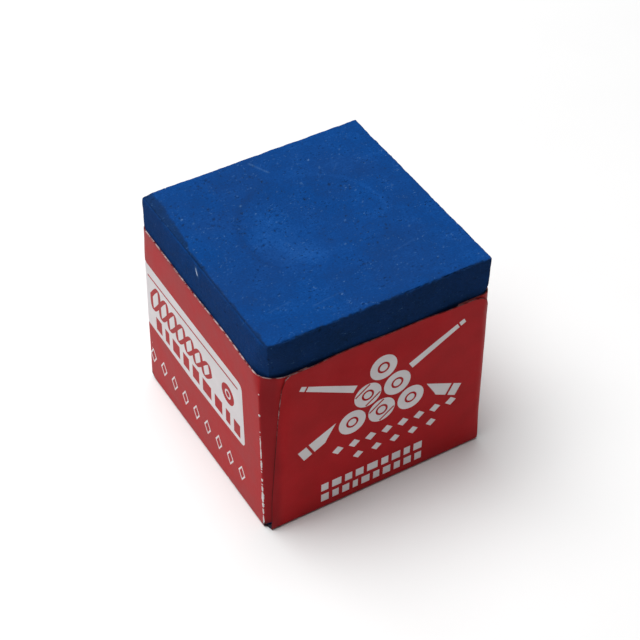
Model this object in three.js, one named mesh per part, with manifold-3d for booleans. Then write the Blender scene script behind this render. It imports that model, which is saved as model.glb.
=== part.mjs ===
// Cue chalk cube: a pressed chalk block in a folded, glued paper label.
// Millimetres, +Z up. The origin is the centre of the underside, where the cube rests.
// The front and back panels of the label face -Y and +Y; its left and right panels face -X and +X.

import * as THREE from "three";
import { mergeVertices } from "three/addons/utils/BufferGeometryUtils.js";
import Module from "manifold-3d";

const wasm = await Module();
wasm.setup();

// ---- Driving dimensions ----

const CUBE = 22.2; // seven eighths of an inch, across the left and right panels, and the full height
const PAPER = 0.12; // thickness of the label sheet
const GLUE = 0.05; // room for a glue film
const HAIRLINE = 0.005; // between a glue film and the pieces it bonds, so that no two solids touch
const LABEL_HEIGHT = 18.45; // from the underside to the label's upper edge

const CHALK_CORNER = 1.2; // radius of the block's upright edges
const CHALK_EASE = 0.35; // rounding round the block's top

const DISH_RADIUS = 6.5; // hollow worn in the top by cue tips
const DISH_DEPTH = 0.5;
const DISH_OFFSET = new THREE.Vector2(0.4, 0.3); // centre of the hollow from the centre of the top

const TAB_REACH = 4.5; // how far a glue tab runs along the front or back, from the cube's side
const TAB_CHAMFER = 1.6; // off the upper corner of a tab's free end
const TAB_SLIT = 0.12; // between the base panel and the foot of a tab, at the fold
const TAB_RISE = THREE.MathUtils.degToRad(30); // slope of a tab's lower edge

const PANEL_INSET_LOW = 0.45; // a lapping panel's side edge, in from the cube's side, at the underside
const PANEL_INSET_HIGH = 1.5; // the same, at the foot of the chamfer
const PANEL_CHAMFER = 1.4; // off a lapping panel's upper corners

const BLOCK_GLUE_MARGIN = 0.55; // bare strip between the glue's upper edge and the label's
const GLUE_MARGIN = 0.3; // bare strip round the other edges of a glued area

const ARC_STEPS = 4; // half the number of flats on a corner arc
const DISH_TURN_STEPS = 48;
const DISH_ARC_STEPS = 6;
const CUT_CLEARANCE = 1; // how far a cutting solid runs past what it cuts

// ---- Dimensions that follow ----

const SIDE = CUBE / 2; // outer face of the left and right panels, and of the tabs
const BLOCK_SIDE = SIDE - PAPER - GLUE;
const BLOCK_BASE = PAPER + GLUE;
const LABEL_CORNER = CHALK_CORNER + GLUE + PAPER;
const LAP_INNER = SIDE + GLUE; // inner face of the front and back panels
const LAP_OUTER = LAP_INNER + PAPER;
const TAB_END = SIDE - TAB_REACH;
const BLOCK_GLUE_TOP = LABEL_HEIGHT - BLOCK_GLUE_MARGIN;

// ---- Solids from three.js geometry ----

function solidOf(geometry) {
  const bare = geometry.clone();
  bare.deleteAttribute("normal");
  bare.deleteAttribute("uv");
  const merged = mergeVertices(bare);
  return new wasm.Manifold(
    new wasm.Mesh({
      numProp: 3,
      vertProperties: merged.attributes.position.array,
      triVerts: new Uint32Array(merged.index.array),
    }),
  );
}

function geometryOf(solid) {
  const mesh = solid.getMesh();
  const geometry = new THREE.BufferGeometry();
  geometry.setAttribute("position", new THREE.BufferAttribute(mesh.vertProperties, 3));
  geometry.setIndex(new THREE.BufferAttribute(mesh.triVerts, 1));
  geometry.computeVertexNormals();
  return geometry;
}

function joined(geometries) {
  const [first, ...others] = geometries.map(solidOf);
  return others.reduce((whole, next) => whole.add(next), first);
}

// ---- Shapes that several pieces use ----

// A plan outline (x, y) raised from one height to another.
function upright(outline, low, high) {
  const options = { depth: high - low, bevelEnabled: false, curveSegments: ARC_STEPS };
  return new THREE.ExtrudeGeometry(outline, options).translate(0, 0, low);
}

// A front-view outline (x, z) that fills a range of y.
function facing(outline, near, far) {
  const options = { depth: far - near, bevelEnabled: false, curveSegments: ARC_STEPS };
  const geometry = new THREE.ExtrudeGeometry(outline, options);
  return geometry.rotateX(Math.PI / 2).translate(0, far, 0);
}

// A box centred on the upright axis.
function centredBox(halfX, halfY, low, high) {
  const geometry = new THREE.BoxGeometry(2 * halfX, 2 * halfY, high - low);
  return geometry.translate(0, 0, (low + high) / 2);
}

function polygon(points) {
  return new THREE.Shape(points.map(([x, y]) => new THREE.Vector2(x, y)));
}

function halfTurn(geometry) {
  return geometry.clone().rotateZ(Math.PI);
}

// An outline (x, z) drawn on the +X side, cut through both ends of the front and of the back.
function atFourCorners(outline, near, far) {
  const right = [facing(outline, near, far), facing(outline, -far, -near)];
  return joined([...right, ...right.map(halfTurn)]);
}

function roundedSquare(side, radius) {
  const centre = side - radius;
  const shape = new THREE.Shape();
  for (let quarter = 0; quarter < 4; quarter += 1) {
    const start = (quarter * Math.PI) / 2;
    const middle = start + Math.PI / 4;
    const x = Math.sign(Math.cos(middle)) * centre;
    const y = Math.sign(Math.sin(middle)) * centre;
    shape.absarc(x, y, radius, start, start + Math.PI / 2, false);
  }
  shape.closePath();
  return shape;
}

// ---- Chalk block ----

function topDish() {
  const sphere = (DISH_RADIUS ** 2 + DISH_DEPTH ** 2) / (2 * DISH_DEPTH);
  const sweep = Math.asin(DISH_RADIUS / sphere);
  const profile = [];
  for (let step = 0; step <= DISH_ARC_STEPS; step += 1) {
    const angle = (sweep * step) / DISH_ARC_STEPS;
    const rise = sphere * (1 - Math.cos(angle)) - DISH_DEPTH;
    profile.push(new THREE.Vector2(sphere * Math.sin(angle), rise));
  }
  profile.push(new THREE.Vector2(DISH_RADIUS, CUT_CLEARANCE));
  profile.push(new THREE.Vector2(0, CUT_CLEARANCE));
  const dish = new THREE.LatheGeometry(profile, DISH_TURN_STEPS).rotateX(Math.PI / 2);
  return solidOf(dish.translate(DISH_OFFSET.x, DISH_OFFSET.y, CUBE));
}

function chalkBlock() {
  const height = CUBE + CUT_CLEARANCE;
  const eased = new THREE.ExtrudeGeometry(roundedSquare(BLOCK_SIDE, CHALK_CORNER), {
    depth: height - 2 * CHALK_EASE,
    bevelThickness: CHALK_EASE,
    bevelSize: CHALK_EASE,
    bevelOffset: -CHALK_EASE,
    bevelSegments: ARC_STEPS,
    curveSegments: ARC_STEPS,
  });
  const body = solidOf(eased.translate(0, 0, CUBE - height + CHALK_EASE));
  const aboveBase = solidOf(centredBox(CUBE, CUBE, BLOCK_BASE, CUBE + CUT_CLEARANCE));
  return body.intersect(aboveBase).subtract(topDish());
}

// ---- Label sheet ----

// Plan of one side panel with its two corner folds and its two glue tabs.
function sidePanelPlan() {
  const centre = SIDE - LABEL_CORNER;
  const inside = SIDE - PAPER;
  const innerRadius = LABEL_CORNER - PAPER;
  const shape = new THREE.Shape();
  shape.moveTo(TAB_END, -SIDE);
  shape.lineTo(centre, -SIDE);
  shape.absarc(centre, -centre, LABEL_CORNER, -Math.PI / 2, 0, false);
  shape.lineTo(SIDE, centre);
  shape.absarc(centre, centre, LABEL_CORNER, 0, Math.PI / 2, false);
  shape.lineTo(TAB_END, SIDE);
  shape.lineTo(TAB_END, inside);
  shape.lineTo(centre, inside);
  shape.absarc(centre, centre, innerRadius, Math.PI / 2, 0, true);
  shape.lineTo(inside, -centre);
  shape.absarc(centre, -centre, innerRadius, 0, -Math.PI / 2, true);
  shape.lineTo(TAB_END, -inside);
  shape.closePath();
  return shape;
}

// What the die cuts away below each tab: a wedge that opens from the fold to the tab's free end.
// It starts at a height, and a margin widens it all round.
function tabRelief(low, margin) {
  const foot = PAPER + TAB_SLIT + margin;
  const outerX = SIDE + CUT_CLEARANCE;
  const innerX = TAB_END - CUT_CLEARANCE;
  const slope = Math.tan(TAB_RISE);
  const outline = polygon([
    [innerX, low],
    [outerX, low],
    [outerX, foot],
    [SIDE, foot],
    [innerX, foot + (SIDE - innerX) * slope],
  ]);
  return atFourCorners(outline, SIDE - LABEL_CORNER - margin, SIDE + CUT_CLEARANCE);
}

function tabTopCorners() {
  const innerX = TAB_END - CUT_CLEARANCE;
  const reach = TAB_CHAMFER + 2 * CUT_CLEARANCE;
  const outline = polygon([
    [innerX, LABEL_HEIGHT + CUT_CLEARANCE],
    [innerX, LABEL_HEIGHT + CUT_CLEARANCE - reach],
    [innerX + reach, LABEL_HEIGHT + CUT_CLEARANCE],
  ]);
  return atFourCorners(outline, SIDE - PAPER - GLUE, SIDE + GLUE);
}

// The base panel with the two side panels folded up from it.
function tray() {
  const right = upright(sidePanelPlan(), 0, LABEL_HEIGHT);
  const base = upright(roundedSquare(SIDE, LABEL_CORNER), 0, PAPER);
  const folded = joined([base, right, halfTurn(right)]);
  return folded.subtract(tabRelief(PAPER, 0)).subtract(tabTopCorners());
}

// The front panel. The back one is the same, turned half a turn.
function lappingPanel() {
  const lowX = SIDE - PANEL_INSET_LOW;
  const highX = SIDE - PANEL_INSET_HIGH;
  const outline = polygon([
    [-lowX, 0],
    [lowX, 0],
    [highX, LABEL_HEIGHT - PANEL_CHAMFER],
    [highX - PANEL_CHAMFER, LABEL_HEIGHT],
    [PANEL_CHAMFER - highX, LABEL_HEIGHT],
    [-highX, LABEL_HEIGHT - PANEL_CHAMFER],
  ]);
  return facing(outline, -LAP_OUTER, -LAP_INNER);
}

function labelSheet() {
  const baseStrip = centredBox(SIDE - PANEL_INSET_LOW, LAP_OUTER, 0, PAPER);
  const front = lappingPanel();
  return tray().add(joined([baseStrip, front, halfTurn(front)]));
}

// ---- Glue ----

// The film under and round the block. Between the ends of the tabs it is thicker, to meet the lapping
// panels.
function blockGlue() {
  const low = PAPER + HAIRLINE;
  const outward = GLUE - HAIRLINE;
  const outer = roundedSquare(BLOCK_SIDE + outward, CHALK_CORNER + outward);
  const inner = roundedSquare(BLOCK_SIDE + HAIRLINE, CHALK_CORNER + HAIRLINE);
  const film = upright(outer, low, BLOCK_GLUE_TOP);
  const pads = centredBox(TAB_END - GLUE_MARGIN, LAP_INNER - HAIRLINE, low, BLOCK_GLUE_TOP);
  const block = solidOf(upright(inner, BLOCK_BASE - HAIRLINE, CUBE));
  return joined([film, pads]).subtract(block).subtract(tabRelief(BLOCK_BASE, GLUE_MARGIN));
}

// The bond between a tab and its lapping panel: its extents on the back right corner.
function lapBond() {
  const tabFoot = PAPER + TAB_SLIT + TAB_REACH * Math.tan(TAB_RISE);
  const low = new THREE.Vector3(TAB_END, SIDE, tabFoot);
  const high = new THREE.Vector3(SIDE - LABEL_CORNER, LAP_INNER, LABEL_HEIGHT - TAB_CHAMFER);
  const margin = new THREE.Vector3(-GLUE_MARGIN, -HAIRLINE, -GLUE_MARGIN);
  return new THREE.Box3(low, high).expandByVector(margin);
}

// ---- Assembly ----

const CHALK_LOOK = { color: 0x1a4484, roughness: 0.95, metalness: 0 };
const LABEL_LOOK = { color: 0xa3262b, roughness: 0.4, metalness: 0 };
const GLUE_LOOK = { color: 0xe6dcc0, roughness: 0.5, metalness: 0 };

const cueChalk = new THREE.Group();

function place(name, geometry, look) {
  const mesh = new THREE.Mesh(geometry, new THREE.MeshStandardMaterial(look));
  mesh.name = name;
  cueChalk.add(mesh);
  return mesh;
}

place("chalk_block", geometryOf(chalkBlock()), CHALK_LOOK);
place("label_sheet", geometryOf(labelSheet()), LABEL_LOOK);
place("block_glue", geometryOf(blockGlue()), GLUE_LOOK);

const bondSize = lapBond().getSize(new THREE.Vector3());
const bondCentre = lapBond().getCenter(new THREE.Vector3());
for (const [depthName, depthSign] of [["front", -1], ["back", 1]]) {
  for (const [sideName, sideSign] of [["left", -1], ["right", 1]]) {
    const bond = new THREE.BoxGeometry(bondSize.x, bondSize.y, bondSize.z);
    const mesh = place(`tab_glue_${depthName}_${sideName}`, bond, GLUE_LOOK);
    mesh.position.set(sideSign * bondCentre.x, depthSign * bondCentre.y, bondCentre.z);
  }
}

export default cueChalk;
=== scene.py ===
import functools
import math

import bpy
import numpy as np
from mathutils import Matrix, Vector
from mathutils.geometry import delaunay_2d_cdt


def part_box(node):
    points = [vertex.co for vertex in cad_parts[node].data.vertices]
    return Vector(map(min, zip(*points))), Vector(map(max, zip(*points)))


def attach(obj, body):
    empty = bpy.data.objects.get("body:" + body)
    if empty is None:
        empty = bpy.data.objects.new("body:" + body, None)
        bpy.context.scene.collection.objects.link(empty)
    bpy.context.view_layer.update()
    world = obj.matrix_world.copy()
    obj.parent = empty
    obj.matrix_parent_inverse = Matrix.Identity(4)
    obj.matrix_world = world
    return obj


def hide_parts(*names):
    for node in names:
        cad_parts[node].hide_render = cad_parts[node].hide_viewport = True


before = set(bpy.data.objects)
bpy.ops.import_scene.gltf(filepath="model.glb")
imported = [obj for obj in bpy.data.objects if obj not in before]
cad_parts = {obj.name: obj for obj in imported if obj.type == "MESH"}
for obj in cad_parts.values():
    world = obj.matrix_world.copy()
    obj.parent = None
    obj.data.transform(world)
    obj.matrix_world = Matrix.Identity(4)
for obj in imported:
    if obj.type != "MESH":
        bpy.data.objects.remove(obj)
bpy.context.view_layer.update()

# A cue chalk cube: a block of pressed blue chalk in a folded, glued, printed paper label.
# Shapes are worked out in millimetres and turned into metres when a mesh is made.
# The label's panels are named as they face: front -Y, back +Y, left -X, right +X.

MM = 0.001


def box_mm(node):
    low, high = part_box(node)
    return Vector(low) / MM, Vector(high) / MM


BLOCK_LOW, BLOCK_HIGH = box_mm("chalk_block")
_, LABEL_HIGH = box_mm("label_sheet")

BLOCK = BLOCK_HIGH.x  # half the block's width
TOP = BLOCK_HIGH.z
SIDE = LABEL_HIGH.x  # outer face of the side panels, and of the tabs under the lapping panels
LAP = LABEL_HIGH.y  # outer face of the front and back panels
LABEL_TOP = LABEL_HIGH.z
GAP = SIDE - BLOCK  # paper and glue together
PAPER = 0.7 * GAP  # thickness of the sheet


# ---- Random fields ----


def ease(low, high, value):
    """Rises smoothly from 0 at the low value to 1 at the high one."""
    share = np.clip((value - low) / (high - low), 0, 1)
    return share * share * (3 - 2 * share)


LATTICE = 64  # cells before a random field repeats


@functools.cache
def lattice_values(seed):
    return np.random.default_rng(seed).uniform(-1, 1, (LATTICE, LATTICE, LATTICE))


def field(points, cell, seed):
    """A smooth random field between -1 and 1, in blobs about one cell across."""
    scaled = points / cell
    corner = np.floor(scaled).astype(int)
    blend = ease(0, 1, scaled - corner)
    total = np.zeros(len(points))
    for offset in np.ndindex(2, 2, 2):
        weight = np.prod(np.where(offset, blend, 1 - blend), axis=1)
        x, y, z = ((corner + offset) % LATTICE).T
        total += weight * lattice_values(seed)[x, y, z]
    return total


def fractal(points, cell, seed, octaves=3):
    total = np.zeros(len(points))
    for octave in range(octaves):
        total += field(points, cell / 2**octave, seed + octave) / 2**octave
    return total / (2 - 2 ** (1 - octaves))


def bell(value, middle, width):
    """1 at the middle, and near 0 two widths from it."""
    return np.exp(-(((value - middle) / width) ** 2))


def crossing(first, second):
    """Every pair of a value from the first list and one from the second."""
    return np.stack(np.meshgrid(first, second, indexing="ij"), axis=-1).reshape(-1, 2)


# ---- Meshes and materials ----

SHARP_TURN = math.radians(40)  # paper that turns more than this from face to face looks creased


def add_object(name, data):
    made = bpy.data.objects.new(name, data)
    bpy.context.collection.objects.link(made)
    return made


def make_piece(name, vertices, faces, materials, face_materials=None):
    """A named mesh object on the one body. Vertices are in millimetres."""
    mesh = bpy.data.meshes.new(name)
    mesh.from_pydata((vertices * MM).tolist(), [], faces)
    for material in materials:
        mesh.materials.append(material)
    if face_materials is not None:
        mesh.polygons.foreach_set("material_index", face_materials)
    mesh.polygons.foreach_set("use_smooth", [True] * len(mesh.polygons))
    mesh.update()
    piece = add_object(name, mesh)
    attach(piece, "root")
    return piece


def add_attribute(piece, name, values):
    attribute = piece.data.attributes.new(name, "FLOAT", "POINT")
    attribute.data.foreach_set("value", np.asarray(values, dtype=np.float32))


class Nodes:
    """Short calls that build the nodes of a material or a room. Lengths are in millimetres."""

    def __init__(self, owner, last="Principled BSDF"):
        owner.use_nodes = True
        self.owner = owner
        self.tree = owner.node_tree
        self.last = self.tree.nodes[last]

    @functools.cached_property
    def position(self):
        return self.add("TexCoord", {}).outputs["Object"]

    def fill(self, node, inputs):
        """Gives each named input its value, or links it to the socket given for it."""
        for name, source in inputs.items():
            if isinstance(source, bpy.types.NodeSocket):
                self.tree.links.new(source, node.inputs[name])
            else:
                node.inputs[name].default_value = source

    def add(self, kind, inputs, **settings):
        node = self.tree.nodes.new("ShaderNode" + kind)
        for name, value in settings.items():
            setattr(node, name, value)
        self.fill(node, inputs)
        return node

    def attribute(self, name):
        return self.add("Attribute", {}, attribute_name=name).outputs["Fac"]

    def noise(self, cell, detail=3.0, roughness=0.55, stretch=(1, 1, 1)):
        """Random clouds. The stretch multiplies the position along each axis first."""
        position = self.position
        if stretch != (1, 1, 1):
            product = self.add("VectorMath", {0: position, 1: stretch}, operation="MULTIPLY")
            position = product.outputs["Vector"]
        inputs = {"Scale": 1 / (cell * MM), "Detail": detail, "Roughness": roughness}
        return self.add("TexNoise", {**inputs, "Vector": position}).outputs["Fac"]

    def math(self, operation, first, second, third=0.0):
        inputs = {0: first, 1: second, 2: third}
        return self.add("Math", inputs, operation=operation).outputs["Value"]

    def times(self, first, second):
        return self.math("MULTIPLY", first, second)

    def spread(self, value, low, high, to_low=0.0, to_high=1.0):
        """Maps a value from one range to another, and holds it inside the second."""
        inputs = {"From Min": low, "From Max": high, "To Min": to_low, "To Max": to_high}
        return self.add("MapRange", {**inputs, "Value": value}).outputs["Result"]

    def ramp(self, value, stops):
        node = self.add("ValToRGB", {"Fac": value})
        stop_list = node.color_ramp.elements
        for _ in stops[2:]:
            stop_list.new(0.5)
        for element, (place, color) in zip(stop_list, stops):
            element.position = place
            element.color = (*color, 1)
        return node.outputs["Color"]

    def mix(self, share, first, second):
        first, second = ((*c, 1) if isinstance(c, tuple) else c for c in (first, second))
        inputs = {"Factor": share, 6: first, 7: second}
        return self.add("Mix", inputs, data_type="RGBA").outputs[2]

    def bump(self, height, depth, below=None):
        """Relief of a depth in millimetres where the height runs from 0 to 1."""
        inputs = {"Distance": depth * MM, "Height": height}
        if below is not None:
            inputs["Normal"] = below
        return self.add("Bump", inputs).outputs["Normal"]

    def finish(self, color, roughness, normal, specular=0.5):
        inputs = {"Base Color": color, "Roughness": roughness, "Normal": normal}
        self.fill(self.last, {**inputs, "Specular IOR Level": specular})
        return self.owner


def new_material(name):
    return Nodes(bpy.data.materials.new(name))


# ---- Chalk block ----

DISH_CENTRE = np.array([0.4, 0.3])
DISH_RADIUS = 6.5
DISH_DEPTH = 0.5
TOP_EASE = 0.22  # radius round the top's edge
CORNER_HEIGHTS = (0, LABEL_TOP - 3, LABEL_TOP, LABEL_TOP + 0.5, TOP - TOP_EASE)
NEAR_REACH = (1.5, 3.4, 3.0, 2.85, 1.2)  # of the block's edge between front and left, at those heights
OTHER_REACH = (0.42, 0.9, 0.8, 0.3, 0.14)  # and of its other three
NEAR_TURN = math.radians(30)  # how far each half of that edge turns before the two meet in an arris
ROUND_TURN = math.radians(45)  # the same where the halves meet smoothly
FLAT_STEPS = 100  # grid steps from the middle of the top to its eased edge
EASE_STEPS = 5
BAND_STEPS = 42  # rings down the bare band
HIDDEN_STEPS = 8  # rings down the part that the label covers
BAND_FOOT = LABEL_TOP - 1.2
UNEVENNESS = 0.04  # depth of the widest waves of the pressed surface
CRUMBLE_REACH = 0.24  # how far the crumbling goes in from an edge
WEAR_DEPTH = 0.17  # of the worn strip, at the left edge
TOP_PITS = 440
BAND_PITS = 90
PIT_CROWD = (-6.5, 6.0)  # where the top has the most pits
PIT_CROWD_WIDTH = 4.5
PIT_PAINTED_SHADE = 7.0  # painted shade in a pit: tone taken off for each millimetre of its depth
DISH_SHADING = (  # painted shade and light in and round the dish, added to the tone: amount, its bearing and least facing, its ring's place and width in dish radii
    (0.13, 188, 0.0, 0.62, 0.34),
    (-0.05, 292, 0.3, 0.9, 0.2),
    (-0.11, 160, 0.3, 1.03, 0.06),
    (-0.02, 225, 0.0, 1.06, 0.05),
    (0.07, 35, 0.3, 1.0, 0.03),
)
SCRATCHES = (  # from one end to the other, width and strength
    ((-0.7, 10.1, TOP), (0.2, 8.1, TOP), 0.07, 0.4),
    ((-BLOCK, 0.85, 21.5), (-BLOCK, 0.7, 21.0), 0.19, 1.0),
    ((-8.6, -7.4, TOP), (-6.4, -7.1, TOP), 0.06, 0.16),
    ((-5.1, -8.5, TOP), (-2.2, -8.2, TOP), 0.06, 0.14),
    ((4.2, -6.1, TOP), (6.6, -5.7, TOP), 0.06, 0.14),
    ((5.2, 5.4, TOP), (6.1, 6.3, TOP), 0.06, 0.12),
)
SPECKS = 26


def chalk_material():
    nodes = new_material("chalk_powder")
    dust_and_shading = nodes.attribute("dust_and_shading")
    scuff = nodes.attribute("scuff")
    clouds = nodes.noise(1.6, detail=5)
    grains = nodes.noise(0.16, detail=4, roughness=0.8)
    streaks = nodes.noise(0.13, detail=3, roughness=0.7, stretch=(0.09, 1, 1))
    patches = nodes.spread(nodes.noise(2.3), 0.45, 0.65)
    streaks = nodes.times(nodes.spread(streaks, 0.4, 0.7), patches)
    # The per-point tone carries painted shade and light as well as dust and wear.
    powder_and_shade = nodes.math("MULTIPLY_ADD", nodes.spread(clouds, 0.3, 0.7, -1, 1), 0.05, dust_and_shading)
    powder_and_shade = nodes.math("MULTIPLY_ADD", nodes.spread(grains, 0.34, 0.66, -1, 1), 0.1, powder_and_shade)
    powder_and_shade = nodes.math("MULTIPLY_ADD", streaks, 0.09, powder_and_shade)
    blue = nodes.ramp(
        powder_and_shade,
        (
            (0.0, (0.002, 0.0095, 0.026)),
            (0.25, (0.0042, 0.018, 0.052)),
            (0.5, (0.0054, 0.029, 0.108)),
            (0.75, (0.0028, 0.044, 0.192)),
            (1.0, (0.011, 0.076, 0.28)),
        ),
    )
    slate = nodes.mix(0.5, blue, (0.01, 0.032, 0.115))
    blue = nodes.mix(nodes.spread(nodes.noise(7.0), 0.42, 0.62, 0, 0.55), blue, slate)
    holes = nodes.noise(0.2, detail=2, roughness=0.6, stretch=(0.6, 1, 1))
    holes = nodes.times(nodes.spread(holes, 0.61, 0.68), nodes.spread(clouds, 0.48, 0.66))
    # Painted shade in the pores, which the bump below also presses in.
    blue = nodes.mix(nodes.times(holes, 0.5), blue, (0.003, 0.013, 0.05))
    flecks = nodes.noise(0.15, detail=2, roughness=0.5, stretch=(-0.7, 1.1, 1.3))
    patches = nodes.spread(nodes.noise(1.1), 0.48, 0.64)
    flecks = nodes.times(nodes.spread(flecks, 0.63, 0.7), patches)
    pale = nodes.math("MAXIMUM", nodes.times(flecks, 0.42), scuff)
    color = nodes.mix(pale, blue, (0.09, 0.2, 0.37))
    color = nodes.mix(nodes.spread(scuff, 0.42, 0.65), color, (0.45, 0.53, 0.7))
    relief = nodes.bump(grains, 0.05)
    relief = nodes.bump(nodes.noise(0.45, detail=3), 0.05, relief)
    relief = nodes.bump(holes, -0.06, relief)
    return nodes.finish(color, 1.0, relief, specular=0.05)


def rounded(plan, half, reach, turn):
    """Moves points from a square outline to the same square with eased corners, with its normals.

    Each corner takes up the reach along both its sides. It is two arcs, one from each side."""
    core = half - reach
    nearest = np.clip(plan, -core, core)
    away = plan - nearest
    bearing = np.arctan2(np.abs(away[:, 1:]), np.abs(away[:, :1]))
    past = bearing > math.pi / 4  # on the second of the corner's arcs
    angle = np.where(past, math.pi / 2 - bearing, bearing) * turn / (math.pi / 4)
    radius = reach / (np.sin(turn) + 1 - np.cos(turn))
    offset = np.hstack([reach - radius * (1 - np.cos(angle)), radius * np.sin(angle)])
    normal = np.hstack([np.cos(angle), np.sin(angle)])
    offset, normal = (np.where(past, pair[:, ::-1], pair) for pair in (offset, normal))
    return nearest + offset * np.sign(away), normal * np.sign(away)


def corner_shape(height, plan):
    """Reach and turn of the block's upright edge that is nearest each point."""
    near = np.all(plan < 0, axis=1)[:, None]
    reaches = [np.interp(height, CORNER_HEIGHTS, row) for row in (NEAR_REACH, OTHER_REACH)]
    return np.where(near, *reaches), np.where(near, NEAR_TURN, ROUND_TURN)


def top_grid():
    """The block's top with its eased edge: points, normals and the square grid they come from."""
    turns = np.linspace(0, math.pi / 2, EASE_STEPS + 1)
    eased = BLOCK - TOP_EASE * (1 - np.sin(turns))
    flat = np.linspace(0, BLOCK - TOP_EASE, FLAT_STEPS, endpoint=False)
    half_line = np.r_[flat, eased]
    line = np.r_[-half_line[:0:-1], half_line]
    plan = crossing(line, line)
    half = np.abs(plan).max(axis=1, keepdims=True)
    reach, turn = corner_shape(TOP, plan)
    reach = np.maximum(reach - (BLOCK - half), 0)
    spread_plan, outward = rounded(plan, half, reach, turn)
    tilt = np.clip((half - BLOCK + TOP_EASE) / TOP_EASE, 0, 1)
    rise = np.sqrt(1 - tilt**2)
    height = TOP - TOP_EASE * (1 - rise)
    return np.hstack([spread_plan, height]), np.hstack([outward * tilt, rise]), plan


def rim_of(grid):
    """The outer points of a square grid in order, counter-clockwise seen from above."""
    return np.r_[grid[:-1, 0], grid[-1, :-1], grid[:0:-1, -1], grid[0, :0:-1]]


def side_rings(rim_plan):
    """Rings down the block's sides, below the eased edge."""
    band = np.linspace(TOP - TOP_EASE, BAND_FOOT, BAND_STEPS + 1)[1:]
    hidden = np.linspace(BAND_FOOT, BLOCK_LOW.z, HIDDEN_STEPS + 1)[1:]
    points, normals = [], []
    for height in np.r_[band, hidden]:
        plan, outward = rounded(rim_plan, BLOCK, *corner_shape(height, rim_plan))
        points.append(np.column_stack([plan, np.full(len(plan), height)]))
        normals.append(np.column_stack([outward, np.zeros(len(plan))]))
    return np.vstack(points), np.vstack(normals), len(points)


def block_faces(grid, ring_count):
    corners = [grid[:-1, :-1], grid[1:, :-1], grid[1:, 1:], grid[:-1, 1:]]
    faces = np.column_stack([corner.ravel() for corner in corners]).tolist()
    upper = rim_of(grid)
    centre = grid.size + ring_count * len(upper)
    for lower in np.arange(grid.size, centre).reshape(ring_count, -1):
        around = [upper, lower, np.roll(lower, -1), np.roll(upper, -1)]
        faces += np.column_stack(around).tolist()
        upper = lower
    return faces + [[centre, b, a] for a, b in zip(upper, np.roll(upper, -1))]


def pit_depths(points, on_top):
    """Pits in the top, most of them towards the back left and in the dish, and a few in the band."""
    random = np.random.default_rng(5)
    top_points = np.flatnonzero(on_top)
    band_points = np.flatnonzero(~on_top & (points[:, 2] > LABEL_TOP))
    plan = points[top_points, :2]
    crowd = bell(plan, PIT_CROWD, PIT_CROWD_WIDTH).prod(axis=1)
    crowd += 0.45 * (np.linalg.norm(plan - DISH_CENTRE, axis=1) < DISH_RADIUS)
    crowd += 0.12
    chosen = random.choice(top_points, TOP_PITS, replace=False, p=crowd / crowd.sum())
    chosen = np.r_[chosen, random.choice(band_points, BAND_PITS, replace=False)]
    radii = 0.045 + 0.04 * random.uniform(0, 1, len(chosen)) ** 3
    depths = radii * random.uniform(0.4, 1.0, len(chosen))
    grains = random.normal(0, 1, (len(chosen), 3))
    grains /= np.linalg.norm(grains, axis=1, keepdims=True)

    # Each is drawn out along its own grain direction and uneven round its edge.
    total = np.zeros(len(points))
    for centre, radius, depth, grain in zip(points[chosen], radii, depths, grains):
        near = np.flatnonzero(np.abs(points - centre).max(axis=1) < 4 * radius)
        away = (points[near] - centre) / radius
        along = away @ grain
        distance = np.sqrt(np.maximum((away**2).sum(axis=1) - 0.75 * along**2, 0))
        ragged = 1 + 0.5 * field(points[near], 0.16, 71)
        total[near] += depth * np.exp(-((distance * ragged) ** 3))
    return total


def dish_profile(plan):
    """Depth of the hollow, and distance from its centre in dish radii."""
    away = plan - DISH_CENTRE
    distance = np.linalg.norm(away, axis=1)
    reach = distance / DISH_RADIUS
    bowl = DISH_DEPTH * (1 - ease(0.2, 1.06, reach))
    lip = 0.015 * bell(reach, 1.05, 0.07) * (1 + away[:, 0] / DISH_RADIUS)
    return bowl - lip, reach, away / np.maximum(distance, 1e-6)[:, None]


def chalk_block():
    points, normals, plan = top_grid()
    grid = np.arange(len(plan)).reshape(math.isqrt(len(plan)), -1)
    ring_points, ring_normals, ring_count = side_rings(plan[rim_of(grid)])
    points = np.vstack([points, ring_points, [[0, 0, BLOCK_LOW.z]]])
    normals = np.vstack([normals, ring_normals, [[0, 0, -1]]])

    height = points[:, 2]
    on_top = normals[:, 2] > 0.5
    exposed = ease(BAND_FOOT, BAND_FOOT + 0.6, height)
    from_edge = np.where(on_top, BLOCK - np.abs(points[:, :2]).max(axis=1), TOP - height)

    # The pressed surface, its upper edge, which has crumbled most at the front, and its worn left edge.
    depth = -UNEVENNESS * fractal(points, 4.0, 11) - 0.024 * fractal(points, 0.9, 21)
    depth -= 0.018 * fractal(points, 0.32, 31, octaves=2)
    at_front = np.exp(-(points[:, 1] + BLOCK) / 0.6)
    crumble = np.exp(-from_edge / CRUMBLE_REACH) * (0.14 + 0.86 * at_front)
    crumbs = np.clip(1.8 * fractal(points, 0.4, 45, octaves=2), -1, 1)
    chips = ease(0.25, 0.7, field(points, 0.9, 41))
    depth += crumble * (0.07 + 0.13 * crumbs + 0.16 * chips)
    worn = left_wear(points)
    depth += WEAR_DEPTH * worn**1.3 * np.where(on_top, 1, np.exp((height - TOP) / 0.35))

    pits = pit_depths(points, on_top)
    moved = points - normals * ((depth + pits) * exposed)[:, None]
    bowl, reach, bearing = dish_profile(points[:, :2])
    moved[:, 2] -= np.where(on_top, bowl, 0)

    faces = block_faces(grid, ring_count)
    piece = make_piece("chalk_block_pressed", moved, faces, [chalk_material()])
    add_attribute(piece, "dust_and_shading", chalk_dust_and_shading(points, normals, pits, reach, bearing, crumble, worn))
    add_attribute(piece, "scuff", chalk_scuffs(points))
    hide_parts("chalk_block")


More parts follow.
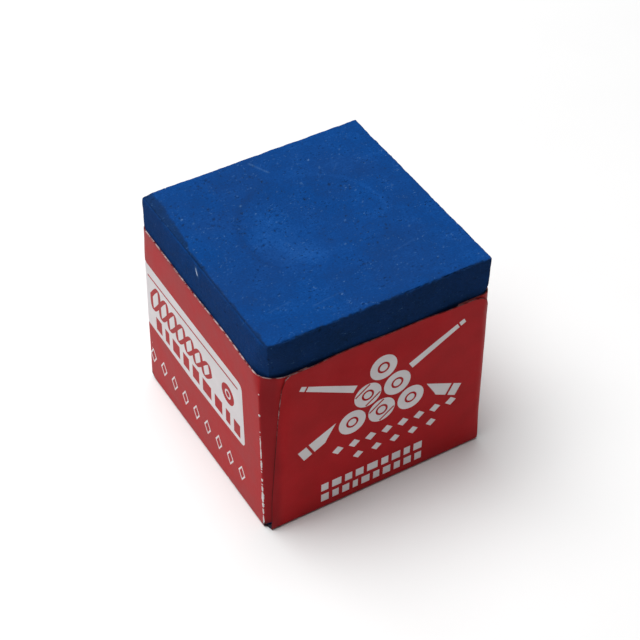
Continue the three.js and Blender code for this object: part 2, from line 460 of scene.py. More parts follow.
def left_wear(points):
    """The ragged worn strip on the top's left, wider to the back: 1 at the edge, 0 past it."""
    width = 0.32 + 0.95 * ease(0, BLOCK, points[:, 1])
    width += 0.3 * fractal(points, 1.3, 47) + 0.1 * field(points, 0.35, 49)
    return np.clip(1 - (points[:, 0] + BLOCK) / np.maximum(width, 0.1), 0, 1)


def facing(bearing, degrees, least):
    """How nearly a direction is the one at an angle from +X: 1 along it, 0 below a least cosine."""
    angle = math.radians(degrees)
    return ease(least, 1, bearing @ (math.cos(angle), math.sin(angle)))


def chalk_dust_and_shading(points, normals, pits, reach, bearing, crumble, worn):
    """How pale the chalk is: 0 where darkest, 1 where worn. Dust and wear, with painted shade and light by
    facing, in pits and round the dish.
    """
    top = 0.73 + 0.05 * fractal(points, 3.5, 51)
    top += 0.03 * fractal(points * (0.12, 1, 1), 0.7, 55)  # drawn out sideways
    # Painted shade and light in and round the dish: a pale crescent inside it and dark and pale arcs on its
    # lip.
    for change, degrees, least, ring, width in DISH_SHADING:
        top += change * facing(bearing, degrees, least) * bell(reach, ring, width)
    # Painted shade and light: the top and each side get a tone of their own by the way they face, the front
    # darkest.
    right, back, up = (np.clip(normals, 0, 1) ** 2).T
    left, front, _ = (np.clip(-normals, 0, 1) ** 2).T
    band = 0.42 * front + 0.62 * left + 0.2 * up + 0.5 * back + 0.44 * right
    band += 0.2 * up * ease(0.05, 0.3, worn)
    band += 0.05 * fractal(points, 1.4, 61)
    ragged = 0.6 * field(points, 0.3, 65) * crumble
    upward = ease(0.4, 0.95, normals[:, 2] + ragged)
    upward *= 1 - ease(0.05, 0.35, worn)
    # Painted shade in the pits, the deeper ones darker.
    return np.clip(band + (top - band) * upward - PIT_PAINTED_SHADE * pits, 0, 1)


def chalk_scuffs(points):
    """Pale scratches, chips and specks, each a short ragged stroke from one end to the other."""
    strokes = list(SCRATCHES)
    random = np.random.default_rng(9)
    for _ in range(SPECKS):
        x, y = random.uniform(-9.5, 9.5, 2)
        width = random.uniform(0.045, 0.07)
        strokes.append(((x, y, TOP), (x + 0.08, y + 0.05, TOP), width, random.uniform(0.3, 0.85)))
    scuff = np.zeros(len(points))
    for start, end, width, strength in strokes:
        start, end = np.array(start), np.array(end)
        along = end - start
        share = np.clip((points - start) @ along / (along @ along), 0, 1)
        distance = np.linalg.norm(points - start - share[:, None] * along, axis=1)
        ragged = 0.65 + 0.35 * field(points, 0.25, 81)
        scuff = np.maximum(scuff, strength * ragged * bell(distance, 0, width))
    return scuff


# ---- Label: the folded sheet ----

# The flat blank lies in its own plane, (s, t), with the base panel in the middle. A panel's face
# coordinates are (u, v): u runs from its left edge as it is seen from outside, v is the height.

FOLD = 0.3  # outer radius of the folds along the base
FOLD_SAVING = FOLD * (2 - math.pi / 2)  # what a round fold saves over a sharp one
FOOT = FOLD_SAVING - FOLD  # v where a panel's fold begins
CREASE_FOOT = 0.6  # distance of a side panel's crease from the corner, at its foot
CREASE_LEAN = 0.04  # what that gains for each millimetre of height
CREASE_TURN = math.radians(56)  # how far the paper turns at the crease; the rest is a wide curve
OTHER_CORNERS = 0.38  # size of the other three upright folds, beside that between front and left
RIM_CORNER = 2.2  # radius of the corner at the label's rim, where it has no crease
TAB_REACH = 4.4  # how far a tab runs from the side
TAB_CHAMFER = 1.6  # how much lower than the panel's top a tab ends
TAB_SLIT = 0.16  # between the base panel and the foot of a tab
TAB_RISE = math.radians(30)  # slope of a tab's lower edge
SHEET_WAVES = 0.02  # how far the sheet waves in and out on its flats
RIM_LIFT = 0.012  # how far it stands off at its rim
SEAM_LIFT = 0.03  # and at its seams
SEAM_CURL = 0.14  # and at the curl high on the seam by the front left corner
CURL_HEIGHT = 15.9


def on_blank(panel, points):
    """Where points of a panel's face lie on the flat blank."""
    u, v = np.transpose(points)
    up = v - FOLD_SAVING
    places = {
        "front": (u - SIDE, -LAP - up),
        "back": (SIDE - u, LAP + up),
        "right": (SIDE + up, u - SIDE),
        "left": (-SIDE - up, SIDE - u),
        "base": (u, v),
    }
    return np.column_stack(places[panel])


def folded_edge(distance, half):
    """Where a strip that leaves the base's centre goes: its reach, its height and its normal."""
    past = distance - (half - FOLD)
    turn = np.clip(past / FOLD, 0, math.pi / 2)
    reach = np.minimum(distance, half - FOLD) + FOLD * np.sin(turn)
    height = FOLD * (1 - np.cos(turn)) + np.maximum(past - FOLD * math.pi / 2, 0)
    return reach, height, np.sin(turn), -np.cos(turn)


def corner_profile(arcs, headings):
    """Plan of paper going round a corner, from its heading at some points along it.

    Gives a table of arc length, way across, way back and heading. It goes 1 across, and the paper
    is straight before and after it."""
    arc = np.linspace(0, arcs[-1], 500)
    heading = np.interp(arc, arcs, headings)
    across = np.cumsum(np.cos(heading)) * arc[1]
    back = np.cumsum(np.sin(heading)) * arc[1]
    size = across[-1]
    straight = 100
    return (
        np.r_[-straight, arc / size, arc[-1] / size + straight],
        np.r_[-straight, across / size, 1],
        np.r_[0, back / size, back[-1] / size + straight],
        np.r_[0, heading, math.pi / 2],
    )


CREASED = corner_profile((0, 0.14, 0.8, 1.7), (0, CREASE_TURN, CREASE_TURN + 0.06, math.pi / 2))
ROUND = corner_profile((0, math.pi / 2), (0, math.pi / 2))


def corner_kinds(height, scale):
    """The two kinds of corner that are mixed at a height: profile, size and share of each."""
    roundness = ease(15.5, LABEL_TOP, height)
    return (
        (CREASED, scale * (CREASE_FOOT + CREASE_LEAN * height), 1 - roundness),
        (ROUND, scale * RIM_CORNER, roundness),
    )


def corner_plan(along, height, scale):
    """Plan of a side panel with its tabs: the way across, the way back from its face, its heading."""
    plan = np.zeros((3, len(along)))
    for (arc, across, back, heading), size, share in corner_kinds(height, scale):
        past = (np.abs(along) - SIDE) / size + 1
        plan[0] += share * (SIDE - size + size * np.interp(past, arc, across))
        plan[1] += share * size * np.interp(past, arc, back)
        plan[2] += share * np.interp(past, arc, heading)
    return plan


def corner_depth(inset, height, scale):
    """How far a wrapped tab lies behind its flat, at a distance from the side panel's face."""
    depth = np.zeros(len(inset))
    for (_, across, back, _), size, share in corner_kinds(height, scale):
        depth += share * size * (1 - np.interp(inset / size, back, across))
    return depth


def fold_up(blank):
    """Folds the blank round the block: points, normals, and which of them lie on a lapping panel."""
    s, t = blank.T
    nothing = np.zeros(len(blank))
    scale = np.where((s < 0) & (t < 0), 1, OTHER_CORNERS)
    on_lap = (np.abs(t) > LAP - FOLD) & (np.abs(s) < SIDE)
    on_side = ~on_lap & (np.abs(s) > SIDE - FOLD)

    # A lapping panel is pasted to the tabs under it, so its edges follow them in. Between the tabs
    # its rim presses on the block.
    reach, height, out, up = folded_edge(np.abs(t), LAP)
    reach -= corner_depth(SIDE - np.abs(s), height, scale) * ease(0.5, 4, height)
    clear_of_tabs = ease(SIDE - TAB_REACH, SIDE - TAB_REACH - 2.5, np.abs(s))
    reach -= (LAP - SIDE) * clear_of_tabs * ease(LABEL_TOP - 4, LABEL_TOP - 0.5, height)
    lap = np.column_stack([s, np.sign(t) * reach, height])
    lap_normal = np.column_stack([nothing, np.sign(t) * out, up])

    reach, height, out, up = folded_edge(np.abs(s), SIDE)
    across, back, heading = corner_plan(t, height, scale)
    side = np.column_stack([np.sign(s) * (reach - back), np.sign(t) * across, height])
    face = np.column_stack([np.sign(s) * np.cos(heading), np.sign(t) * np.sin(heading)])
    side_normal = np.column_stack([face * out[:, None], up])

    where = [on_lap[:, None], on_side[:, None]]
    points = np.select(where, [lap, side], np.column_stack([blank, nothing]))
    return points, np.select(where, [lap_normal, side_normal], np.array([0, 0, -1])), on_lap


def stand_off(blank, points, on_lap):
    """How far the sheet stands off its nominal place: slight waves, an open rim and lifting seams."""
    height = points[:, 2]
    waves = SHEET_WAVES * fractal(points, 6.5, 101, octaves=2) * ease(0.4, 4, height)
    rim = ease(LABEL_TOP - 2.0, LABEL_TOP, height)
    rim *= RIM_LIFT + RIM_LIFT * field(points, 3.5, 105)
    from_seam = np.where(on_lap, SIDE - 0.6 - np.abs(blank[:, 0]), 9)
    loose = np.exp(-np.maximum(from_seam, 0) / 0.7) * ease(0.3, 2.5, height)
    loose *= SEAM_LIFT + SEAM_LIFT * field(points, 2.2, 111)
    near_seam = on_lap & (blank[:, 0] < 0) & (blank[:, 1] < 0)
    curl = bell(height, CURL_HEIGHT, 1.1) * np.exp(-np.maximum(from_seam, 0) / 0.5)
    return waves + rim + loose + np.where(near_seam, SEAM_CURL * curl, 0)


# ---- Label: outlines ----


def side_outline(panel, top):
    """A side panel with its two tabs. Beyond the panel's flat part, u goes on round the corner."""
    tab_end = SIDE + TAB_REACH - 0.7
    foot_end = SIDE - CREASE_FOOT
    foot = FOLD - FOLD_SAVING + TAB_SLIT
    tab_foot = foot + (tab_end - foot_end) * math.tan(TAB_RISE)
    foot_path = [(tab_end, tab_foot), (foot_end, foot), (foot_end, FOOT)]
    points = [(-across, v) for across, v in reversed(foot_path)] + [(-tab_end, top[0][1] - TAB_CHAMFER)]
    points += [(u - SIDE, v) for u, v in top] + [(tab_end, top[-1][1] - TAB_CHAMFER)] + foot_path
    return on_blank(panel, [(SIDE + across, v) for across, v in points])


def die_outline():
    """The edge of the whole blank, once round."""
    front = [(0.4, FOOT), (0.5, 1.7), (1.2, 12.9), (1.55, 17.0), (1.85, 18.1)]
    front += [(2.3, 18.46), (9.0, 18.46), (12.0, 18.35), (20.4, 18.36)]
    front += [(21.2, 18.12), (21.7, 17.7), (21.95, 17.0), (22.1, 0.3), (22.05, FOOT)]
    right_top = [(-3.0, 18.34), (1.0, 18.36), (11.0, 18.5), (21.0, 18.4), (25.2, 18.5)]
    back = [(0.45, FOOT), (0.5, 1.0), (1.5, 16.9), (2.8, 18.3), (11.0, 18.4)]
    back += [(19.6, 18.5), (20.8, 17.2), (21.7, 1.0), (21.75, FOOT)]
    left_top = [(-3.0, 18.6), (0.3, 18.8), (3.5, 18.7), (8.5, 18.46), (15.5, 18.46)]
    left_top += [(18.5, 18.2), (20.6, 18.1), (22.6, 18.3), (25.2, 18.4)]
    right = side_outline("right", right_top)
    left = side_outline("left", left_top)
    return np.vstack([on_blank("front", front), right, on_blank("back", back), left])


def arc_points(centre, radius, count):
    turns = np.arange(count) * 2 * math.pi / count
    return [(centre[0] + radius * math.cos(a), centre[1] + radius * math.sin(a)) for a in turns]


def diamond(u, v, wide, high):
    return [(u - wide, v), (u, v - high), (u + wide, v), (u, v + high)]


def bar(u, v, wide, high):
    return [(u, v), (u + wide, v), (u + wide, v + high), (u, v + high)]


def stroke(start, end, start_width, end_width):
    """A straight stroke that tapers evenly."""
    start, end = Vector(start), Vector(end)
    across = (end - start).normalized().orthogonal() / 2
    return [
        start - across * start_width,
        end - across * end_width,
        end + across * end_width,
        start + across * start_width,
    ]


def rounded_outline(corners, radius):
    points = []
    corners = [Vector(corner) for corner in corners]
    for before, corner, after in zip(corners[-1:] + corners[:-1], corners, corners[1:] + corners[:1]):
        start = corner + (before - corner).normalized() * radius
        end = corner + (after - corner).normalized() * radius
        for share in np.linspace(0, 1, 6):
            first, second = start.lerp(corner, share), corner.lerp(end, share)
            points.append(first.lerp(second, share))
    return points


# ---- Label: the printed design ----

RED, WHITE, RAW, EDGE = 0, 1, 2, 3  # the label's materials, in this order


def bar_row(left, right, low, high, widths, ink):
    """A row of plain blocks with even gaps, as long as the room between left and right."""
    gap = 0.42 * (high - low)
    scale = (right - left - gap * (len(widths) - 1)) / sum(widths)
    shapes = []
    u = left
    for width in widths:
        shapes.append((bar(u, low, width * scale, high - low), ink))
        u += width * scale + gap
    return shapes


def diamond_row(left, right, v, half_size, count):
    return [(diamond(u, v, 1.15 * half_size, half_size), WHITE) for u in np.linspace(left, right, count)]


def cue(butt, tip, butt_width, tip_width):
    """A tapering white cue with a red border and two bands."""
    butt, tip = Vector(butt), Vector(tip)
    border = (tip - butt).normalized() * 0.2

    def part(first, last):
        widths = [butt_width + (tip_width - butt_width) * share for share in (first, last)]
        return stroke(butt.lerp(tip, first), butt.lerp(tip, last), *widths)

    wide = stroke(butt - border, tip + border, butt_width + 0.4, tip_width + 0.4)
    bands = [(part(*band), RED) for band in ((0.05, 0.065), (0.96, 0.97))]
    return [(wide, RED), (part(0, 1), WHITE)] + bands


def ball(centre, radius, striped, ink, ground):
    """A ball with a ringed spot. One kind has a line on either side of the spot too."""
    shapes = [
        (arc_points(centre, radius, 44), ink),
        (arc_points(centre, 0.46 * radius, 30), ground),
        (arc_points(centre, 0.3 * radius, 24), ink),
    ]
    if striped:
        for side in (-0.66, 0.66):
            middle = Vector(centre) + Vector((-0.6, 0.8)) * side * radius
            lean = Vector((0.8, 0.6)) * 0.66 * radius
            shapes.append((stroke(middle - lean, middle + lean, 0.13 * radius, 0.13 * radius), ground))
    return shapes


def ball_rack(centre_u, low_v, radius, rows):
    """White balls racked in a triangle on red, striped and plain by turns."""
    pitch = 2.2 * radius
    slope = math.sin(math.radians(60))
    peak = low_v + (rows - 1) * pitch * slope + 3.7 * radius
    half = (rows - 1) / 2 * pitch + 2.35 * radius
    low = low_v - 0.4 * radius
    triangle = [(centre_u - half, low), (centre_u + half, low), (centre_u, peak)]
    shapes = [(rounded_outline(triangle, radius), RED)]
    for row in range(rows):
        for place in range(rows - row):
            u = centre_u + (place - (rows - row - 1) / 2) * pitch
            centre = (u, low_v + radius + row * pitch * slope)
            shapes += ball(centre, radius, (row + place) % 2 == 1, WHITE, RED)
    return shapes


def ribbon(points, widths, ink):
    """A stroke of changing width along a curve, as four-sided pieces that share their ends."""
    along = np.gradient(points, axis=0)
    along /= np.linalg.norm(along, axis=1, keepdims=True)
    across = along[:, ::-1] * (-1, 1) * widths[:, None] / 2
    left, right = points + across, points - across
    return [(piece, ink) for piece in zip(left, left[1:], right[1:], right)]


def pen_braid(left, right, v, first_height, last_height, width, ink):
    """Two slanting pen waves that cross, lower to the right and wide where they are steep."""
    waves = 3.5
    share = np.linspace(-0.004, 1.004, 121)  # a little past the last crossings, to close them
    tall = first_height + (last_height - first_height) * share
    pieces = []
    for sense in (-1, 1):
        heights = tall * (1 + sense * np.sin(2 * math.pi * waves * share)) / 2
        us = left + (right - left) * share + 0.35 * heights
        steepness = np.abs(np.gradient(heights)) / np.hypot(np.gradient(heights), np.gradient(us))
        pieces += ribbon(np.column_stack([us, v + heights]), width * (0.4 + 0.6 * steepness), ink)
    return pieces


def lap_design():
    """Front and back: two crossed cues behind a rack of six balls, over four rows of plain marks."""
    shapes = cue((3.3, 8.0), (19.5, 16.4), 1.35, 0.5)
    shapes += cue((19.4, 8.0), (3.2, 16.4), 1.35, 0.5)
    shapes += ball_rack(11.35, 8.3, 1.35, 3)
    shapes += diamond_row(7.0, 18.7, 6.85, 0.5, 8)
    shapes += diamond_row(9.1, 16.7, 5.2, 0.46, 5)
    shapes += bar_row(5.4, 15.9, 2.3, 3.2, (1, 1.3, 1, 1.1, 1.5, 1, 1.2, 0.9, 1.2), WHITE)
    shapes += bar_row(5.4, 15.9, 0.95, 1.85, (1.2, 1, 1.1, 0.8, 1.3, 1, 1.2, 1, 1.2, 1.1), WHITE)
    return shapes


def side_design():
    """Left and right: a white panel off one corner, with red marks, over a row of open diamonds."""
    panel = [(-1.3, 14.95), (9.0, 14.7), (18.1, 14.6), (18.5, 7.3), (9.0, 7.0), (-1.3, 7.4)]
    shapes = [(rounded_outline(panel, 0.7), WHITE)]
    shapes.append((bar(0.8, 13.5, 16.6, 0.2), RED))
    shapes += pen_braid(0.8, 12.2, 9.95, 3.1, 1.9, 0.5, RED)
    shapes += ball((15.6, 11.4), 1.1, False, RED, WHITE)
    shapes += bar_row(2.0, 17.7, 7.75, 9.3, (1, 0.7, 1.2, 1, 1.1, 1.4, 1.2, 0.7, 1), RED)
    for u in np.linspace(0.9, 17.8, 9):
        shapes.append((diamond(u, 3.4, 0.62, 0.95), WHITE))
        shapes.append((diamond(u, 3.4, 0.42, 0.68), RED))
    return shapes


def base_design():
    return [
        (arc_points((0, 0), 4.4, 60), WHITE),
        (arc_points((0, 0), 4.1, 60), RED),
        (diamond(0, 0, 2.0, 2.8), WHITE),
    ]


def worn_crease(random, path, low, high, width, cover):
    """Slivers of bare paper where the print has cracked off a fold. The path gives u for a height."""
    slivers = []
    v = low
    while v < high:
        length = cover * (0.12 + random.exponential(0.45))
        half = width * random.uniform(0.45, 1.0) / 2
        heights = np.linspace(v, min(v + length, high), 9)
        swell = half * np.sin(np.linspace(0.12, math.pi - 0.12, 9)) ** 0.5
        middle = path(heights) + random.normal(0, width / 20, 9)
        left = list(zip(middle - swell * random.uniform(0.8, 1.1, 9), heights))
        right = list(zip(middle + swell * random.uniform(0.7, 1.1, 9), heights))
        slivers.append(left + right[::-1])
        v += length + 0.05 + max(0.25, 1.1 - cover) ** 2 * random.exponential(2.6)
    return slivers


def first_fold(v):
    """Place of a side panel's first upright fold at a height."""
    return CREASE_FOOT + CREASE_LEAN * v - 0.05


def last_fold(v):
    return 2 * SIDE - first_fold(v)


def base_fold(u):
    """Height of the fold along the base, the same at every place."""
    return 0.06 + 0 * u


def wear_and_glint():
    """Bare paper on the folds, as (panel, outline): most of it low on the fold nearest the front left, where
    it paints that fold's glint as well.
    """
    random = np.random.default_rng(17)
    marks = []

    def crack(panel, *stretch):
        marks.extend((panel, sliver) for sliver in worn_crease(random, *stretch))

    # On this fold the wide slivers and the dots above them are bare paper and also a painted glint.
    crack("left", last_fold, 0.25, 4.5, 0.36, 1.6)
    crack("left", last_fold, 4.6, 9.9, 0.26, 0.9)
    crack("left", last_fold, 9.9, 13.0, 0.16, 0.5)
    for height, radius, count in ((13.8, 0.13, 12), (16.2, 0.07, 10)):
        marks.append(("left", arc_points((last_fold(height), height), radius, count)))
    crack("left", first_fold, 0.3, 9.0, 0.12, 0.2)
    crack("right", first_fold, 0.3, 8.0, 0.13, 0.25)
    crack("right", last_fold, 0.3, 8.0, 0.13, 0.25)

    # Along the base the fold runs crosswise, so the path gives v for a place u.
    for panel, first, last in (("front", 1, 21.5), ("back", 1, 21.3), ("left", 1.2, 21), ("right", 1.2, 21)):
        for sliver in worn_crease(random, base_fold, first, last, 0.1, 0.12):
            marks.append((panel, [(u, v) for v, u in sliver]))
    return marks


def printed_shapes():
    """All that isn't plain red, as (outline on the blank, material), in the order it is laid down."""
    lap, side = lap_design(), side_design()
    designs = {"front": lap, "back": lap, "left": side, "right": side, "base": base_design()}
    shapes = [(panel, outline, ink) for panel, design in designs.items() for outline, ink in design]
    shapes += [(panel, outline, RAW) for panel, outline in wear_and_glint()]
    return [(on_blank(panel, outline), ink) for panel, outline, ink in shapes]


# ---- Label: mesh ----


def inside(points, outline):
    """Which points lie inside a closed outline, by counting crossings for those in its box."""
    near = np.all((points > outline.min(axis=0)) & (points < outline.max(axis=0)), axis=1)
    x, y = points[near].T
    odd = np.zeros(len(x), dtype=bool)
    for (x0, y0), (x1, y1) in zip(outline, np.roll(outline, 1, axis=0)):
        crosses = (y0 > y) != (y1 > y)
        slope = (x1 - x0) / (y1 - y0) if y1 != y0 else 0
        odd ^= crosses & (x < x0 + (y - y0) * slope)
    result = np.zeros(len(points), dtype=bool)
    result[near] = odd
    return result


def support_points(outline, flat_step):
    """Points inside an outline that let it bend: close together across a fold, wider on the flats."""
    fold_turn = np.linspace(0, FOLD * math.pi / 2, 6)
    corner_turn = np.r_[np.linspace(SIDE - 2.3, SIDE - 0.2, 18), np.linspace(SIDE, SIDE + 1.4, 8)]
    wall = np.arange(0.5, LABEL_TOP + 0.6, 0.9 * flat_step)
    up_side = np.r_[SIDE - FOLD + fold_turn, SIDE + wall]
    up_lap = np.r_[LAP - FOLD + fold_turn, LAP + wall]
    flat = np.arange(flat_step / 2, SIDE - 2.4, flat_step)
    half_side = np.r_[flat, corner_turn, corner_turn[-1] + np.arange(0.4, 3, 0.4)]
    half_lap = np.r_[flat, np.arange(SIDE - 2.3, SIDE, 0.2)]
    base = np.arange(-SIDE + 0.7, SIDE - 0.6, 1.6 * flat_step)
    groups = [crossing(base, base)]
    for sign in (-1, 1):
        groups.append(crossing(sign * up_side, np.r_[-half_side, half_side]))
        groups.append(crossing(np.r_[-half_lap, half_lap], sign * up_lap))
    points = np.vstack(groups)
    return points[inside(points, outline)]


def fine_outline(outline, step=0.45):
    """An outline with its long edges divided, so that it can bend too."""
    points = []
    for start, end in zip(outline, np.roll(outline, -1, axis=0)):
        count = max(1, math.ceil(np.linalg.norm(end - start) / step))
        points += [start + (end - start) * share for share in np.arange(count) / count]
    return np.array(points)


def triangulated(outline, shapes=(), flat_step=0.5):
    """A flat outline as triangles that follow the shapes on it: points, triangles and their inks."""
    points = support_points(outline, flat_step).tolist()
    edges = []
    for closed in [outline] + [shape for shape, _ in shapes]:
        fine = fine_outline(closed)
        first, count = len(points), len(fine)
        edges += [(first + k, first + (k + 1) % count) for k in range(count)]
        points += fine.tolist()
    made = delaunay_2d_cdt([Vector(p) for p in points], edges, [], 0, 1e-4, False)
    flat_points = np.array([tuple(p) for p in made[0]])
    triangles = np.array(made[2])
    middles = flat_points[triangles].mean(axis=1)
    kept = inside(middles, outline)
    triangles, middles = triangles[kept], middles[kept]
    inks = np.full(len(triangles), RED)
    for shape, ink in shapes:
        inks[inside(middles, shape)] = ink
    used, flat = np.unique(triangles, return_inverse=True)
    return flat_points[used], flat.reshape(triangles.shape), inks


def outer_edges(triangles):
    """Edges that only one triangle has, in that triangle's direction."""
    directed = np.vstack([triangles[:, [0, 1]], triangles[:, [1, 2]], triangles[:, [2, 0]]]).tolist()
    known = set(map(tuple, directed))
    return [edge for edge in directed if (edge[1], edge[0]) not in known]


def folded_solid(blank, triangles, outer_offset, inner_offset):
    """A closed sheet folded round the block, between two distances from the label's nominal face.

    Its outer faces come first, then its inner faces, then the faces along its edge."""
    points, normals, on_lap = fold_up(blank)
    lift = stand_off(blank, points, on_lap)
    outer = points + normals * (lift + outer_offset)[:, None]
    inner = points + normals * (lift + inner_offset)[:, None]
    count = len(blank)
    # Seen from the printed side the blank is mirrored, so its triangles are turned round.
    faces = triangles[:, ::-1].tolist() + (triangles + count).tolist()
    faces += [[a, b, b + count, a + count] for a, b in outer_edges(triangles)]
    return np.vstack([outer, inner]), faces


def label_sheet():
    blank, triangles, inks = triangulated(die_outline(), printed_shapes())
    vertices, faces = folded_solid(blank, triangles, 0.0, -PAPER)
    materials = [printed_material("label_red", RED), printed_material("label_white", WHITE)]
    materials += [raw_paper_material(), cut_edge_material()]
    inks = inks.tolist() + [RAW] * len(triangles) + [EDGE] * (len(faces) - 2 * len(triangles))
    piece = make_piece("label_sheet_printed", vertices, faces, materials, inks)
    piece.data.set_sharp_from_angle(angle=SHARP_TURN)
    add_attribute(piece, "soil_and_shade", label_soil_and_shade(vertices))
    add_attribute(piece, "clean_and_highlight", label_clean_edge_and_highlight(vertices))
    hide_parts("label_sheet")


def label_soil_and_shade(points):
    """Dirt at the rim and a little everywhere, with painted shade on the strip round the front left corner
    and inside the foot.
    """
    x, y, z = points.T
    rim = ease(LABEL_TOP - 0.5, LABEL_TOP + 0.15, z)
    rim *= 0.25 * (0.6 + 0.4 * field(points, 0.8, 125))
    smudge = 0.05 * ease(0.15, 0.8, fractal(points, 2.6, 121))
    # Painted shade on the strip past the crease at the front left corner.
    past_crease = CREASE_FOOT + CREASE_LEAN * z - SIDE - y
    corner = 0.34 * ease(0, 0.2, past_crease) * ease(-9.4, -10.2, x)
    # Painted shade inside the open foot at the corners.
    foot_shade = ease(0.9, 0.3, z)
    foot_shade *= (np.abs(x) > BLOCK - 1.2) & (np.abs(y) > BLOCK - 0.5) & (np.abs(y) < SIDE + 0.04)
    return np.clip(rim + smudge + corner + 0.9 * foot_shade, 0, 1)


def label_clean_edge_and_highlight(points):
    """Where the cut edge has kept its paper colour, at the rim and most on the left, and where it is pale on
    open seams as a painted highlight.
    """
    to_corner = np.linalg.norm(points[:, :2] + SIDE, axis=1)
    rim = ease(LABEL_TOP - 1.0, LABEL_TOP - 0.4, points[:, 2])
    on_left = points[:, 0] < -BLOCK
    rim *= np.maximum(0.12 + 0.5 * bell(to_corner, 0, 3.0), 0.7 * on_left)
    # Paler high on the seams: a painted highlight on the lifted seam edge.
    return np.maximum(rim, 0.6 * bell(points[:, 2], 14.5, 2.2))


# ---- Label: materials ----

INK_COLORS = {  # light, dark, and rubbed off
    RED: ((0.43, 0.01, 0.014), (0.37, 0.008, 0.011), (0.5, 0.2, 0.2)),
    WHITE: ((0.76, 0.725, 0.735), (0.7, 0.665, 0.675), (0.6, 0.55, 0.57)),
}


def printed_material(name, ink):
    """Varnished ink on paper: slight unevenness in the colour, rub marks, and waves in the gloss."""
    nodes = new_material(name)
    light, dark, rubbed_off = INK_COLORS[ink]
    cloud = nodes.noise(2.4, detail=4)
    color = nodes.mix(nodes.spread(cloud, 0.35, 0.65), dark, light)
    fibre = nodes.noise(0.07, detail=2, stretch=(1, 1, 0.45))
    color = nodes.mix(nodes.times(nodes.spread(fibre, 0.58, 0.8), 0.08), color, rubbed_off)
    rubbed = nodes.noise(0.5, detail=6, roughness=0.75, stretch=(1, 1, 0.3))
    rubs = nodes.spread(rubbed, 0.68, 0.76)
    color = nodes.mix(nodes.times(rubs, 0.2), color, rubbed_off)
    # Dirt, and painted shade by the front left corner and in the foot, from one mask.
    color = nodes.mix(nodes.attribute("soil_and_shade"), color, (0.025, 0.01, 0.014))
    roughness = nodes.math("MULTIPLY_ADD", rubs, 0.25, nodes.spread(cloud, 0.3, 0.7, 0.32, 0.42))
    relief = nodes.bump(nodes.noise(0.85, detail=2), 0.01)
    relief = nodes.bump(fibre, 0.003, relief)
    return nodes.finish(color, roughness, relief, specular=0.05)


def raw_paper_material():
    nodes = new_material("raw_paper")
    fibre = nodes.noise(0.05, detail=4, roughness=0.7)
    color = nodes.mix(nodes.spread(fibre, 0.35, 0.7), (0.7, 0.66, 0.66), (0.92, 0.9, 0.9))
    # Dirt, and painted shade by the front left corner and in the foot, from one mask.
    color = nodes.mix(nodes.attribute("soil_and_shade"), color, (0.02, 0.025, 0.05))
    return nodes.finish(color, 0.85, nodes.bump(fibre, 0.02), specular=0.3)


def cut_edge_material():
    """The cut edge of the sheet: bare paper, stained by the ink and by chalk dust, with painted shade from
    the dirt mask and a painted highlight where it is paler high on the seams.
    """
    nodes = new_material("cut_edge")
    stain = nodes.noise(0.6, detail=5, roughness=0.7)
    clean_and_highlight = nodes.times(nodes.spread(stain, 0.44, 0.58), nodes.attribute("clean_and_highlight"))
    color = nodes.mix(clean_and_highlight, (0.13, 0.012, 0.012), (0.62, 0.5, 0.5))
    # Dirt, and painted shade by the front left corner and in the foot, from one mask.
    color = nodes.mix(nodes.attribute("soil_and_shade"), color, (0.04, 0.012, 0.015))
    return nodes.finish(color, 0.9, nodes.bump(nodes.noise(0.08, detail=3), 0.01), specular=0.05)


# ---- Glue ----

CLEARANCE = 0.005  # between a film of paste and what it bonds


def paste_material():
    nodes = new_material("dried_paste")
    bubbles = nodes.noise(0.5, detail=4)
    color = nodes.mix(nodes.spread(bubbles, 0.35, 0.65), (0.55, 0.46, 0.3), (0.78, 0.72, 0.56))
    relief = nodes.bump(bubbles, 0.02)
    return nodes.finish(color, nodes.spread(bubbles, 0.3, 0.7, 0.35, 0.6), relief)


def wavy_edge(panel, first, last, low, high, seed):
    """The sides and the uneven top of a patch of paste on a panel, from its foot round to its foot."""
    random = np.random.default_rng(seed)
    across = np.linspace(first, last, 24)
    tops = high + 0.35 * np.sin(across * 1.3 + seed) + random.normal(0, 0.12, len(across))
    ups = np.linspace(low, high - 0.6, 16)
    near = first + 0.15 * np.sin(ups + seed)
    far = last + 0.15 * np.sin(1.2 * ups + seed)
    points = list(zip(near, ups)) + list(zip(across, tops)) + list(zip(far, ups))[::-1]
    return on_blank(panel, points)


def paste_film(node, outline, outer_offset, inner_offset, material):
    blank, triangles, _ = triangulated(outline, flat_step=0.9)
    vertices, faces = folded_solid(blank, triangles, outer_offset, inner_offset)
    piece = make_piece(node.replace("glue", "paste"), vertices, faces, [material])
    piece.data.set_sharp_from_angle(angle=SHARP_TURN)
    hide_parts(node)


def block_paste(material):
    """One film between the block and the sheet, under the base and up the four sides."""
    sides = enumerate(("front", "right", "back", "left"))
    outlines = [wavy_edge(panel, 2.4, 2 * SIDE - 2.4, FOOT + 0.2, 16.0, seed) for seed, panel in sides]
    outer, inner = -PAPER - CLEARANCE, -GAP + CLEARANCE
    paste_film("block_glue", np.vstack(outlines), outer, inner, material)


def tab_pastes(material):
    """A bond on each tab: a side panel has one that runs on to the front and one to the back."""
    outer, inner = GAP - PAPER - CLEARANCE, CLEARANCE
    seed = 10
    for panel, to_front in (("left", 1), ("right", -1)):
        for end, sense in (("front", to_front), ("back", -to_front)):
            middle = SIDE + sense * (SIDE + 1.9)
            outline = wavy_edge(panel, middle - 0.9, middle + 0.9, 3.4, 15.6, seed)
            paste_film(f"tab_glue_{end}_{panel}", outline, outer, inner, material)
            seed += 1


# ---- Floor, light and camera ----

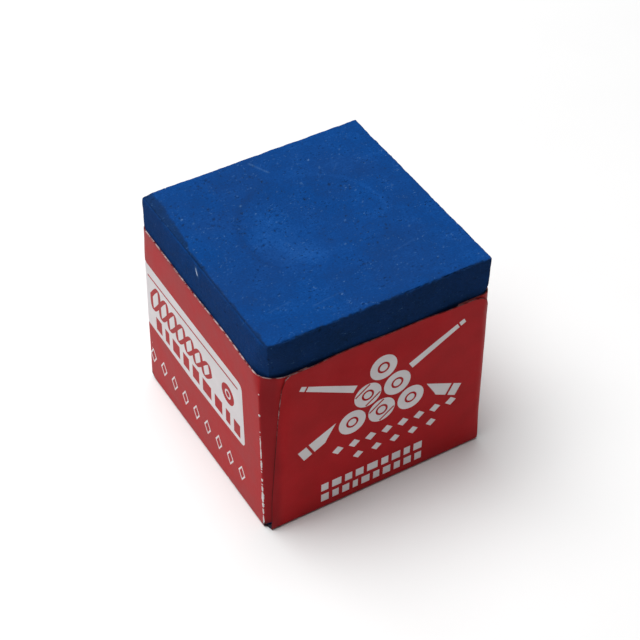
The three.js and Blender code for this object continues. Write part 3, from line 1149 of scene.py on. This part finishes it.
CAMERA_BEARING = math.radians(-31.54)  # from the front, towards the left
CAMERA_ELEVATION = math.radians(43.87)
CAMERA_ROLL = math.radians(0.99)
CAMERA_PLACE = Vector((-60.37, -99.64, 123.1)) * MM
FOCAL_LENGTH = 101.7
SENSOR = 36.0
FLOOR_HALF = 0.5
FLOOR_FADE = (0.4, 0.1)  # distances where the floor has gone and where it starts to fade
KEY_PLACE = (-0.1, 0.1, 0.48)
KEY_SIZE = 0.4
KEY_POWER = 3.95
ROOM_GLOW = 0.12  # strength of the room as a light
ROOM_WHITE = 1.0  # and as the camera sees it


def floor():
    """A pale floor that fades into the pale room some way out from the cube."""
    mesh = bpy.data.meshes.new("floor")
    corners = [(x * FLOOR_HALF, y * FLOOR_HALF, 0) for x, y in ((-1, -1), (1, -1), (1, 1), (-1, 1))]
    mesh.from_pydata(corners, [], [(0, 1, 2, 3)])
    nodes = new_material("pale_floor")
    cloud = nodes.noise(30, detail=3)
    color = nodes.mix(nodes.spread(cloud, 0.3, 0.7), (0.74, 0.74, 0.74), (0.76, 0.76, 0.76))
    away = nodes.add("VectorMath", {0: nodes.position}, operation="LENGTH").outputs["Value"]
    nodes.fill(nodes.last, {"Alpha": nodes.spread(away, *FLOOR_FADE)})
    mesh.materials.append(nodes.finish(color, 0.8, nodes.bump(cloud, 0.05), specular=0.2))
    add_object("floor", mesh)


def key_light():
    """A square light facing the middle of the cube."""
    light = bpy.data.lights.new("key", "AREA")
    light.size = KEY_SIZE
    light.energy = KEY_POWER
    lamp = add_object("key", light)
    lamp.location = KEY_PLACE
    aim = Vector((0, 0, TOP / 2 * MM)) - Vector(KEY_PLACE)
    lamp.rotation_euler = aim.to_track_quat("-Z", "Y").to_euler()


def surroundings():
    """An even pale room: the camera sees it white, but it gives only a little light."""
    world = bpy.data.worlds.new("room")
    bpy.context.scene.world = world
    nodes = Nodes(world, "Background")
    seen = nodes.add("LightPath", {}).outputs["Is Camera Ray"]
    strength = nodes.spread(seen, 0, 1, ROOM_GLOW, ROOM_WHITE)
    nodes.fill(nodes.last, {"Color": (1, 1, 1, 1), "Strength": strength})
    bpy.context.scene.view_settings.view_transform = "Standard"


def camera():
    data = bpy.data.cameras.new("camera")
    data.sensor_width = SENSOR
    data.lens = FOCAL_LENGTH
    data.clip_start = 0.01
    view = add_object("camera", data)
    turned = Matrix.Rotation(CAMERA_BEARING, 4, "Z")
    turned @= Matrix.Rotation(math.pi / 2 - CAMERA_ELEVATION, 4, "X")
    turned @= Matrix.Rotation(CAMERA_ROLL, 4, "Z")
    view.matrix_world = Matrix.Translation(CAMERA_PLACE) @ turned
    bpy.context.scene.camera = view


chalk_block()
label_sheet()
paste = paste_material()
block_paste(paste)
tab_pastes(paste)
floor()
surroundings()
key_light()
camera()
